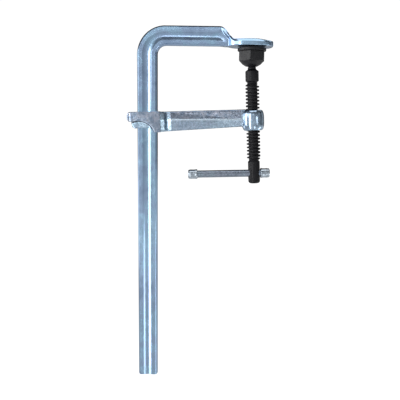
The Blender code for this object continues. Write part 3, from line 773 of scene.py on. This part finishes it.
def tooth_rows():
    """One pitch of the thread, going down: (distance below the crest's middle, share of the tooth)."""
    flat = CREST_HALF_WIDTH
    foot = flat + FLANK_SPREAD
    ease = 0.10 * MM
    return [
        (-foot - ease, 0.0),
        (-foot + ease, 0.08),
        (-flat - ease, 0.92),
        (-flat + ease, 1.0),
        (0.0, 1.0),
        (flat - ease, 1.0),
        (flat + ease, 0.92),
        (foot - ease, 0.08),
        (foot + ease, 0.0),
    ]


def thread_radius(height, share):
    """The radius at a height for a share of the tooth, faded out at both ends of the thread."""
    fade = smoothstep(height, -THREAD_BOTTOM, -THREAD_BOTTOM + 3 * MM)
    fade *= 1.0 - smoothstep(height, -THREAD_TOP - 2.5 * MM, -THREAD_TOP)
    return ROOT_RADIUS + TOOTH_DEPTH * share * fade


def add_thread(bm, top_ring, bottom_ring):
    """The helical surface between two rings of the core: rows of points that climb one pitch a turn."""
    columns = SPINDLE_COLUMNS
    pattern = tooth_rows()
    turns = int((THREAD_BOTTOM - THREAD_TOP) / THREAD_PITCH) + 3
    rows = []
    for turn in range(turns):
        start = -THREAD_TOP + THREAD_PITCH - turn * THREAD_PITCH
        rows += [(start - height, share) for height, share in pattern]
    made = {}

    def vertex(row, column):
        if column == columns:
            row, column = row - len(pattern), 0
        height = rows[max(row, 0)][0] + THREAD_PITCH * column / columns
        if row < 0 or height >= -THREAD_TOP:
            return top_ring[column]
        if height <= -THREAD_BOTTOM:
            return bottom_ring[column]
        if (row, column) not in made:
            angle = 2 * math.pi * column / columns
            radius = thread_radius(height, rows[row][1])
            made[row, column] = bm.verts.new((radius * math.cos(angle), radius * math.sin(angle), height))
        return made[row, column]

    for row in range(len(rows) - 1):
        for column in range(columns):
            steps = ((0, 0), (0, 1), (1, 1), (1, 0))
            add_face(bm, [vertex(row + down, column + on) for down, on in steps])


def spindle_top_profile():
    """Ball, necks and collar, down to where the thread starts."""
    ball_end = -math.degrees(math.acos(INNER_NECK_RADIUS / BALL_RADIUS))
    ball = arc((0.0, 0.0), BALL_RADIUS, 90.0, ball_end, 28)
    ball[0] = (0.0, BALL_RADIUS)
    necks = [
        (INNER_NECK_RADIUS, -5.5 * MM),
        (INNER_NECK_RADIUS, -NECK_AT + 3.2 * MM),
        (NECK_RADIUS - 0.2 * MM, -NECK_AT + 0.8 * MM),
    ]
    flare = arc((NECK_RADIUS + 1.6 * MM, -NECK_AT - 0.3 * MM), 1.6 * MM, 150.0, 235.0, 8)
    collar = arc((COLLAR_RADIUS - 0.9 * MM, -COLLAR_TOP - 0.6 * MM), 0.9 * MM, 55.0, 0.0, 5)
    collar.append((COLLAR_RADIUS, mix(-COLLAR_TOP, -COLLAR_BOTTOM, 0.5)))
    collar += arc((COLLAR_RADIUS - 0.5 * MM, -COLLAR_BOTTOM + 0.8 * MM), 0.5 * MM, 0.0, -55.0, 4)
    core = [(ROOT_RADIUS, -COLLAR_BOTTOM - 1.2 * MM), (ROOT_RADIUS, -THREAD_TOP)]
    return ball + necks + flare + collar + core


def spindle_tail_profile():
    """The plain stretch below the thread, down to the spindle's end."""
    step = [
        (ROOT_RADIUS, -THREAD_BOTTOM),
        (ROOT_RADIUS + 0.1 * MM, -THREAD_BOTTOM - 0.2 * MM),
        (TAIL_RADIUS - 0.15 * MM, -THREAD_BOTTOM - 0.9 * MM),
        (TAIL_RADIUS, -THREAD_BOTTOM - 1.2 * MM),
        (TAIL_RADIUS, -CROSS_HOLE_AT),
    ]
    rounding_centre = (TAIL_RADIUS - TAIL_ROUNDING, -SPINDLE_BOTTOM + TAIL_ROUNDING)
    rounding = arc(rounding_centre, TAIL_ROUNDING, 0.0, -90.0, 12)
    return step + rounding + [(TAIL_RADIUS * 0.3, -SPINDLE_BOTTOM), (0.0, -SPINDLE_BOTTOM)]


def cross_drill():
    """The cutter for the cross hole, along X at the hole's height."""
    radius = BAR_RADIUS + PLAY
    profile = [(0.0, DRILL_REACH), (radius, DRILL_REACH), (radius, -DRILL_REACH), (0.0, -DRILL_REACH)]
    place = Matrix.Translation((0.0, 0.0, -CROSS_HOLE_AT)) @ Matrix.Rotation(math.pi / 2, 4, "Y")
    return linked("cross_drill", mesh_from(turned_mesh(profile, 48), "cross_drill", place))


def make_spindle():
    bm = bmesh.new()
    top = add_turned(bm, spindle_top_profile(), SPINDLE_COLUMNS)
    tail = add_turned(bm, spindle_tail_profile(), SPINDLE_COLUMNS)
    add_thread(bm, top[-1], tail[0])
    work = linked("spindle_work", mesh_from(bm, "spindle_work"))
    cutter = cross_drill()
    cut = work.modifiers.new("cross_hole", "BOOLEAN")
    cut.object = cutter
    cut.operation = "DIFFERENCE"
    cut.solver = "EXACT"
    mesh = evaluated(work, "spindle_screw")
    for helper in (work, cutter):
        bpy.data.objects.remove(helper, do_unlink=True)
    mesh.transform(TILTED)
    shade(mesh, 35.0)
    oxide = black_oxide("oxide_turned", turned=True, wear=0.45, shine=0.24)
    new_piece("spindle_screw", mesh, "spindle", "spindle", oxide)


# ---------------------------------------------------------------- pad

PLATE_THICKNESS = 3.6 * MM
PLATE_ROUNDING = 0.6 * MM
STUD_LENGTH = 4.0 * MM
STUD_RADIUS = 9.0 * MM
RING_GAP_HALF = math.radians(14.0)
RING_STEPS = 72
WIRE_COLUMNS = 16


def plate_profile():
    """The plate's face, rim and underside, then the short stud with its seat for the ball."""
    low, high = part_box("pressure_plate")
    radius = (high.x - low.x) / 2
    top = high.z - BALL.z
    underside = top - PLATE_THICKNESS
    stud_bottom = underside - STUD_LENGTH
    rim = radius - PLATE_ROUNDING
    seat_radius = BALL_RADIUS + PLAY
    seat = arc((0.0, 0.0), seat_radius, math.degrees(math.asin(stud_bottom / seat_radius)), 90.0, 12)
    seat[-1] = (0.0, seat_radius)
    return (
        [(0.0, top), (radius * 0.5, top)]
        + arc((rim, top - PLATE_ROUNDING), PLATE_ROUNDING, 90.0, 0.0, 5)
        + arc((rim, underside + PLATE_ROUNDING), PLATE_ROUNDING, 0.0, -90.0, 5)
        + [(STUD_RADIUS, underside), (STUD_RADIUS, stud_bottom)]
        + seat
    )


def make_pad():
    """The plate, turned, and the hexagonal socket, forged."""
    oxide = black_oxide("oxide_forged", turned=False, wear=0.25, shine=0.40)
    mesh = mesh_from(turned_mesh(plate_profile(), 96), "pressure_plate_disc", UPRIGHT)
    shade(mesh, 35.0)
    new_piece("pressure_plate_disc", mesh, "pad", "pressure_plate", oxide)
    mesh = remeshed("hex_socket_forging", frame["nodes"]["hex_socket"], 0.27 * MM, 3)
    push_out(mesh, 0.05 * MM, 3 * MM, 11.0)
    shade(mesh, 60.0)
    new_piece("hex_socket_forging", mesh, "pad", "hex_socket", oxide)


def make_snap_ring():
    """Round wire bent into an open ring."""
    low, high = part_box("snap_ring")
    wire = (high.z - low.z) / 2
    radius = (high.x - low.x) / 2 - wire
    bm = bmesh.new()
    rows = []
    for step in range(RING_STEPS + 1):
        angle = mix(RING_GAP_HALF, 2 * math.pi - RING_GAP_HALF, step / RING_STEPS)
        row = []
        for column in range(WIRE_COLUMNS):
            turn = 2 * math.pi * column / WIRE_COLUMNS
            reach = radius + wire * math.cos(turn)
            point = (reach * math.cos(angle), reach * math.sin(angle), wire * math.sin(turn))
            row.append(bm.verts.new(point))
        rows.append(row)
    skin_rings(bm, rows)
    mesh = mesh_from(bm, "snap_ring_wire", Matrix.Translation((low + high) / 2))
    shade(mesh)
    new_piece("snap_ring_wire", mesh, "ball_ring", "snap_ring", spring_wire())


# ---------------------------------------------------------------- tommy bar

BAR_LEFT = -78.8 * MM
BAR_RIGHT = 18.4 * MM
BAR_BEVEL = 0.4 * MM
BAR_STEPS = 60
CAP_LENGTH = 10.9 * MM
CAP_RADIUS = 5.9 * MM
CAP_SHOULDER_RADIUS = CAP_RADIUS - 0.4 * MM
CAP_ROUNDING = 1.6 * MM
CAP_END_WALL = 1.3 * MM
CAP_STEPS = 24
CRIMP_DEPTH = 0.075
CRIMP_AT = 0.58 * CAP_LENGTH
CRIMP_REACH = 0.30 * CAP_LENGTH


def along_bar(x, side=1):
    """A frame on the tommy bar's axis at x, whose Z points along the bar to the given side."""
    direction = SCREW_ACROSS * side
    middle = TILTED @ Vector((0.0, 0.0, -CROSS_HOLE_AT))
    turn = direction.to_track_quat("Z", "Y").to_matrix().to_4x4()
    return Matrix.Translation(middle + SCREW_ACROSS * x) @ turn


def make_tommy_bar():
    half = (BAR_RIGHT - BAR_LEFT) / 2 - CAP_END_WALL - PLAY
    side_end = half - BAR_BEVEL
    profile = [(0.0, half), (BAR_RADIUS - BAR_BEVEL, half), (BAR_RADIUS, side_end)]
    profile += [(BAR_RADIUS, place) for place in stations(side_end, -side_end, BAR_STEPS)]
    profile += [(BAR_RADIUS - BAR_BEVEL, -half), (0.0, -half)]
    mesh = mesh_from(turned_mesh(profile, 48), "tommy_rod", along_bar((BAR_LEFT + BAR_RIGHT) / 2))
    push_out(mesh, 0.04 * MM, 7 * MM, 5.0)
    shade(mesh)
    finish = zinc("zinc_dull", DULL_TINTS, roughness=0.30, grain=0.40, mottle=0.40)
    new_piece("tommy_rod", mesh, "tommy_bar", "tommy_bar", finish)


def crimp(angle, radius, height):
    """Four pressed flats round the cap, deepest a little past the middle of its length."""
    if radius < BAR_RADIUS + 0.5 * MM:
        return 1.0
    flats = abs(math.cos(2.0 * angle)) ** 3
    share = 1.0 - min(abs(height + CRIMP_AT) / CRIMP_REACH, 1.0) ** 2
    return 1.0 - CRIMP_DEPTH * flats * share


def cap_profile():
    """The cap from its closed end, over its side, and back up its bore."""
    bore = BAR_RADIUS + PLAY
    rounding = arc((CAP_SHOULDER_RADIUS - CAP_ROUNDING, -CAP_ROUNDING), CAP_ROUNDING, 90.0, 0.0, 8)
    side = []
    for share in stations(0.0, 1.0, CAP_STEPS):
        radius = mix(CAP_SHOULDER_RADIUS, CAP_RADIUS, smoothstep(share, 0.0, 0.35))
        side.append((radius, mix(-CAP_ROUNDING, -CAP_LENGTH + 0.6 * MM, share)))
    mouth = [
        (CAP_RADIUS - 0.15 * MM, -CAP_LENGTH + 0.15 * MM),
        (CAP_RADIUS - 0.5 * MM, -CAP_LENGTH),
        (bore, -CAP_LENGTH),
        (bore, -CAP_END_WALL),
        (0.0, -CAP_END_WALL),
    ]
    return [(0.0, 0.0), (0.5 * CAP_RADIUS, 0.0)] + rounding + side + mouth


def make_bar_caps():
    bright = zinc("zinc_cap", CAP_TINTS, roughness=0.20, grain=0.20, mottle=0.30)
    for name, place, side in (("bar_cap_left", BAR_LEFT, -1), ("bar_cap_right", BAR_RIGHT, 1)):
        bm = turned_mesh(cap_profile(), 64, crimp)
        mesh = mesh_from(bm, name + "_crimped", along_bar(place, side))
        shade(mesh, 50.0)
        new_piece(name + "_crimped", mesh, "tommy_bar", name, bright)


# ---------------------------------------------------------------- studio

FLOOR_DROP = 0.7
FLOOR_HALF_SIZE = 8.0
CAMERA_PLACE = (-57.5 * MM, -600.0 * MM, -82.0 * MM)
CAMERA_PITCH = math.radians(-9.19)
CAMERA_ROLL = math.radians(0.76)
CAMERA_LENS = 45.3
SENSOR_WIDTH = 36.0


def panel(name, place, width, height, radiance, aim=(-0.06, 0.0, -0.15)):
    """A soft box at a place, turned to an aim, whose brightness doesn't depend on its size."""
    light = bpy.data.lights.new(name, "AREA")
    light.shape = "RECTANGLE"
    light.size = width
    light.size_y = height
    light.energy = radiance * math.pi * width * height
    obj = linked(name, light)
    obj.location = place
    obj.rotation_mode = "QUATERNION"
    obj.rotation_quaternion = (Vector(aim) - Vector(place)).to_track_quat("-Z", "Y")


def make_floor():
    """A pale floor far below, seen as white and dimmer in what the metal reflects."""
    bm = bmesh.new()
    below = Matrix.Translation((0.0, 0.0, CAD_LOW.z - FLOOR_DROP))
    bmesh.ops.create_grid(bm, x_segments=1, y_segments=1, size=FLOOR_HALF_SIZE, matrix=below)
    floor = linked("studio_floor", mesh_from(bm, "studio_floor"))
    nodes = Nodes("pale_floor")
    tone = nodes.noise(nodes.coords, 6.0, 2.0)
    nodes.into("Base Color", nodes.ramp(tone, zip((0.3, 0.7), FLOOR_TINTS)))
    nodes.set("Roughness", 0.7)
    nodes.set("Emission Color", (1.0, 1.0, 1.0, 1.0))
    seen_directly = nodes.add("ShaderNodeLightPath").outputs["Is Camera Ray"]
    nodes.into("Emission Strength", nodes.spread(seen_directly, 0.0, 1.0, 0.40, 1.0))
    floor.data.materials.append(nodes.material)


def make_world():
    """White behind the clamp; what its metal reflects is brightest in front and dark behind."""
    world = bpy.data.worlds.new("studio")
    world.use_nodes = True
    bpy.context.scene.world = world
    tree = world.node_tree

    def ramp_on(output, low, high, low_value, high_value):
        node = tree.nodes.new("ShaderNodeMapRange")
        node.interpolation_type = "SMOOTHSTEP"
        node.inputs["From Min"].default_value = low
        node.inputs["From Max"].default_value = high
        node.inputs["To Min"].default_value = low_value
        node.inputs["To Max"].default_value = high_value
        tree.links.new(output, node.inputs["Value"])
        return node.outputs["Result"]

    def product(first, second):
        node = tree.nodes.new("ShaderNodeMath")
        node.operation = "MULTIPLY"
        tree.links.new(first, node.inputs[0])
        tree.links.new(second, node.inputs[1])
        return node.outputs["Value"]

    split = tree.nodes.new("ShaderNodeSeparateXYZ")
    tree.links.new(tree.nodes.new("ShaderNodeTexCoord").outputs["Generated"], split.inputs["Vector"])
    front_to_back = ramp_on(split.outputs["Y"], -0.75, 0.35, 0.60, 0.15)
    left_to_right = ramp_on(split.outputs["X"], -0.4, 0.8, 1.25, 0.60)
    low_to_high = ramp_on(split.outputs["Z"], 0.22, 0.44, 1.0, 0.38)
    brightness = product(product(front_to_back, left_to_right), low_to_high)
    background = tree.nodes["Background"]
    background.inputs["Color"].default_value = (0.97, 1.0, 1.02, 1.0)
    tree.links.new(brightness, background.inputs["Strength"])
    seen = tree.nodes.new("ShaderNodeBackground")
    seen.inputs["Color"].default_value = (1.0, 1.0, 1.0, 1.0)
    seen.inputs["Strength"].default_value = 1.05
    choose = tree.nodes.new("ShaderNodeMixShader")
    path = tree.nodes.new("ShaderNodeLightPath")
    tree.links.new(path.outputs["Is Camera Ray"], choose.inputs["Fac"])
    tree.links.new(background.outputs["Background"], choose.inputs[1])
    tree.links.new(seen.outputs["Background"], choose.inputs[2])
    tree.links.new(choose.outputs["Shader"], tree.nodes["World Output"].inputs["Surface"])


def make_studio():
    make_floor()
    make_world()
    panel("strip_near_left", (-0.290, -0.397, -0.27), 0.11, 0.74, 4.0, (-0.06, 0.0, -0.27))
    panel("strip_front_right", (0.26, -0.93, -0.72), 0.20, 0.55, 2.2, (-0.12, 0.0, -0.40))
    panel("strip_right_low", (0.93, -0.12, -0.70), 0.28, 0.55, 3.4, (-0.12, 0.0, -0.30))
    panel("strip_right_back", (0.95, 0.45, -0.10), 0.60, 0.90, 0.3)
    panel("card_front_low", (-0.20, -1.30, -0.55), 1.20, 0.36, 0.22, (-0.12, 0.0, -0.20))
    panel("band_front_top", (-0.12, -2.20, 0.66), 0.50, 0.22, 2.8, (-0.06, 0.0, 0.0))
    panel("box_left_high", (-1.00, -0.27, 0.17), 1.20, 0.35, 1.8, (0.0, 0.0, 0.0))
    panel("box_left_boss", (-1.06, -0.13, -0.07), 0.40, 0.50, 3.7)
    panel("strip_left_back", (-1.10, 0.50, -0.15), 0.60, 0.90, 1.1)
    panel("box_right", (0.44, -0.60, -0.06), 0.20, 0.10, 3.0)
    panel("box_right_high", (0.95, -0.45, 0.36), 0.50, 0.30, 0.2)
    panel("box_back_right", (0.60, 0.45, 0.70), 0.60, 0.60, 0.8)
    panel("box_top", (-0.05, -0.35, 1.00), 1.20, 0.90, 1.5)
    bpy.context.scene.view_settings.view_transform = "Standard"


def make_camera():
    camera = bpy.data.cameras.new("camera")
    camera.sensor_width = SENSOR_WIDTH
    camera.lens = CAMERA_LENS
    camera.dof.use_dof = False
    obj = linked("camera", camera)
    obj.matrix_world = (
        Matrix.Translation(CAMERA_PLACE)
        @ Matrix.Rotation(math.pi / 2 + CAMERA_PITCH, 4, "X")
        @ Matrix.Rotation(CAMERA_ROLL, 4, "Z")
    )
    bpy.context.scene.camera = obj


make_camera()
make_rail()
make_sliding_arm()
make_spindle()
make_pad()
make_snap_ring()
make_tommy_bar()
make_bar_caps()
make_studio()
